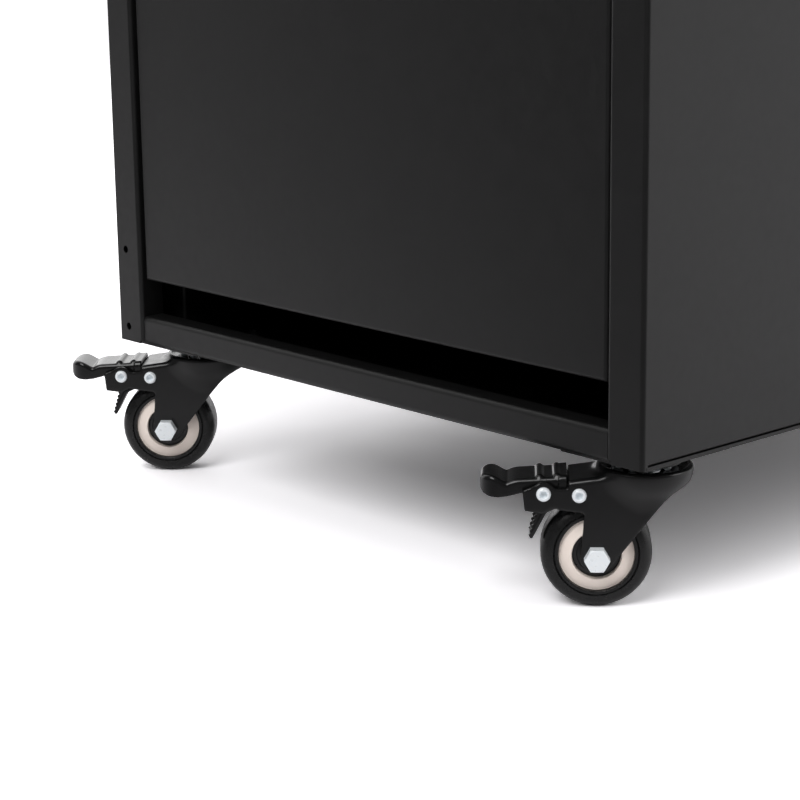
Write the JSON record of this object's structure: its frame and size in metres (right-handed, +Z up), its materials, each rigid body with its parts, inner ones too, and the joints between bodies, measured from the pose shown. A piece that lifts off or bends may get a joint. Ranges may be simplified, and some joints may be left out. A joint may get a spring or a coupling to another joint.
{
  "type": "rolling pedestal cabinet",
  "caption": "Low steel office pedestal on swivel casters, with recessed drawers that slide out over open finger gaps, a cam lock in the top drawer and brake pedals on the front casters.",
  "frame": {"origin": "on the floor, below the centre of the case's footprint", "axes": "+Z up, -Y out of the drawer fronts, +X to the right for a person facing the fronts"},
  "size_m": [0.4064, 0.5231, 0.6],
  "materials": {
    "case_paint": "matte fine-textured powder coat",
    "caster_paint": "satin",
    "pedal_paint": "gloss",
    "zinc_steel": "bright zinc plate",
    "tyre": "semi-gloss",
    "hub_plastic": "satin",
    "bearing_plastic": "matte"
  },
  "bodies": {
    "case": {"left_side_panel": "case_paint", "right_side_panel": "case_paint", "back_panel": "case_paint", "top_panel": "case_paint", "base_pan": "case_paint", "panel_screws": "zinc_steel", "slide_uprights": "case_paint", "slide_channels": "zinc_steel", "caster_plates": "caster_paint", "caster_screws": "zinc_steel", "caster_kingpins": "zinc_steel", "caster_balls": "zinc_steel"},
    "bottom_drawer": {"bottom_drawer_front": "case_paint", "bottom_drawer_box": "case_paint", "bottom_drawer_screws": "zinc_steel", "bottom_drawer_slides": "zinc_steel"},
    "bottom_slide_carriers": {"bottom_slide_carriers": "zinc_steel"},
    "middle_drawer": {"middle_drawer_front": "case_paint", "middle_drawer_box": "case_paint", "middle_drawer_screws": "zinc_steel", "middle_drawer_slides": "zinc_steel"},
    "middle_slide_carriers": {"middle_slide_carriers": "zinc_steel"},
    "top_drawer": {"top_drawer_front": "case_paint", "top_drawer_box": "case_paint", "top_drawer_screws": "zinc_steel", "top_drawer_slides": "zinc_steel", "lock_barrel": "zinc_steel", "lock_nut": "zinc_steel"},
    "top_slide_carriers": {"top_slide_carriers": "zinc_steel"},
    "lock": {"lock_plug": "zinc_steel", "lock_cam": "zinc_steel"},
    "front_left_caster": {"front_left_fork": "caster_paint", "front_left_axle": "zinc_steel", "front_left_rivets": "zinc_steel"},
    "front_left_wheel": {"front_left_hub": "hub_plastic", "front_left_tyre": "tyre", "front_left_bearings": "bearing_plastic"},
    "front_left_pedal": {"front_left_pedal": "pedal_paint"},
    "front_left_brake": {"front_left_brake_plate": "caster_paint"},
    "front_right_caster": {"front_right_fork": "caster_paint", "front_right_axle": "zinc_steel", "front_right_rivets": "zinc_steel"},
    "front_right_wheel": {"front_right_hub": "hub_plastic", "front_right_tyre": "tyre", "front_right_bearings": "bearing_plastic"},
    "front_right_pedal": {"front_right_pedal": "pedal_paint"},
    "front_right_brake": {"front_right_brake_plate": "caster_paint"},
    "rear_left_caster": {"rear_left_fork": "caster_paint", "rear_left_axle": "zinc_steel"},
    "rear_left_wheel": {"rear_left_hub": "hub_plastic", "rear_left_tyre": "tyre", "rear_left_bearings": "bearing_plastic"},
    "rear_right_caster": {"rear_right_fork": "caster_paint", "rear_right_axle": "zinc_steel"},
    "rear_right_wheel": {"rear_right_hub": "hub_plastic", "rear_right_tyre": "tyre", "rear_right_bearings": "bearing_plastic"}
  },
  "joints": [
    {"name": "bottom_drawer_slide", "type": "slide", "parent": "case", "child": "bottom_drawer", "axis": [0, -1, 0], "range_m": [0, 0.4]},
    {"name": "bottom_carrier_slide", "type": "slide", "parent": "case", "child": "bottom_slide_carriers", "axis": [0, -1, 0], "range_m": [0, 0.2]},
    {"name": "middle_drawer_slide", "type": "slide", "parent": "case", "child": "middle_drawer", "axis": [0, -1, 0], "range_m": [0, 0.4]},
    {"name": "middle_carrier_slide", "type": "slide", "parent": "case", "child": "middle_slide_carriers", "axis": [0, -1, 0], "range_m": [0, 0.2]},
    {"name": "top_drawer_slide", "type": "slide", "parent": "case", "child": "top_drawer", "axis": [0, -1, 0], "range_m": [0, 0.4]},
    {"name": "top_carrier_slide", "type": "slide", "parent": "case", "child": "top_slide_carriers", "axis": [0, -1, 0], "range_m": [0, 0.2]},
    {"name": "lock_turn", "type": "hinge", "parent": "top_drawer", "child": "lock", "pos_m": [0.13, -0.24, 0.5482], "axis": [0, 1, 0], "range_deg": [0, 90]},
    {"name": "front_left_swivel", "type": "hinge", "parent": "case", "child": "front_left_caster", "pos_m": [-0.1595, -0.2144, 0.065], "axis": [0, 0, 1], "continuous": true},
    {"name": "front_left_roll", "type": "hinge", "parent": "front_left_caster", "child": "front_left_wheel", "pos_m": [-0.1747, -0.2296, 0.025], "axis": [0.7071, -0.7071, 0], "continuous": true},
    {"name": "front_left_pedal_press", "type": "hinge", "parent": "front_left_caster", "child": "front_left_pedal", "pos_m": [-0.19139, -0.24629, 0.0543], "axis": [0.7071, -0.7071, 0], "range_deg": [0, 14]},
    {"name": "front_left_brake_swing", "type": "hinge", "parent": "front_left_caster", "child": "front_left_brake", "pos_m": [-0.18029, -0.23519, 0.0537], "axis": [0.7071, -0.7071, 0], "range_deg": [0, 7.65]},
    {"name": "front_right_swivel", "type": "hinge", "parent": "case", "child": "front_right_caster", "pos_m": [0.1595, -0.2144, 0.065], "axis": [0, 0, 1], "continuous": true},
    {"name": "front_right_roll", "type": "hinge", "parent": "front_right_caster", "child": "front_right_wheel", "pos_m": [0.1443, -0.2296, 0.025], "axis": [0.7071, -0.7071, 0], "continuous": true},
    {"name": "front_right_pedal_press", "type": "hinge", "parent": "front_right_caster", "child": "front_right_pedal", "pos_m": [0.12761, -0.24629, 0.0543], "axis": [0.7071, -0.7071, 0], "range_deg": [0, 14]},
    {"name": "front_right_brake_swing", "type": "hinge", "parent": "front_right_caster", "child": "front_right_brake", "pos_m": [0.13871, -0.23519, 0.0537], "axis": [0.7071, -0.7071, 0], "range_deg": [0, 7.65]},
    {"name": "rear_left_swivel", "type": "hinge", "parent": "case", "child": "rear_left_caster", "pos_m": [-0.1595, 0.2144, 0.065], "axis": [0, 0, 1], "continuous": true},
    {"name": "rear_left_roll", "type": "hinge", "parent": "rear_left_caster", "child": "rear_left_wheel", "pos_m": [-0.1747, 0.1992, 0.025], "axis": [0.7071, -0.7071, 0], "continuous": true},
    {"name": "rear_right_swivel", "type": "hinge", "parent": "case", "child": "rear_right_caster", "pos_m": [0.1595, 0.2144, 0.065], "axis": [0, 0, 1], "continuous": true},
    {"name": "rear_right_roll", "type": "hinge", "parent": "rear_right_caster", "child": "rear_right_wheel", "pos_m": [0.1443, 0.1992, 0.025], "axis": [0.7071, -0.7071, 0], "continuous": true}
  ],
  "couplings": [
    {"joint": "bottom_carrier_slide", "follows": "bottom_drawer_slide", "ratio": 0.5},
    {"joint": "middle_carrier_slide", "follows": "middle_drawer_slide", "ratio": 0.5},
    {"joint": "top_carrier_slide", "follows": "top_drawer_slide", "ratio": 0.5},
    {"joint": "front_left_brake_swing", "follows": "front_left_pedal_press", "ratio": 0.54286},
    {"joint": "front_right_brake_swing", "follows": "front_right_pedal_press", "ratio": 0.54286}
  ]
}
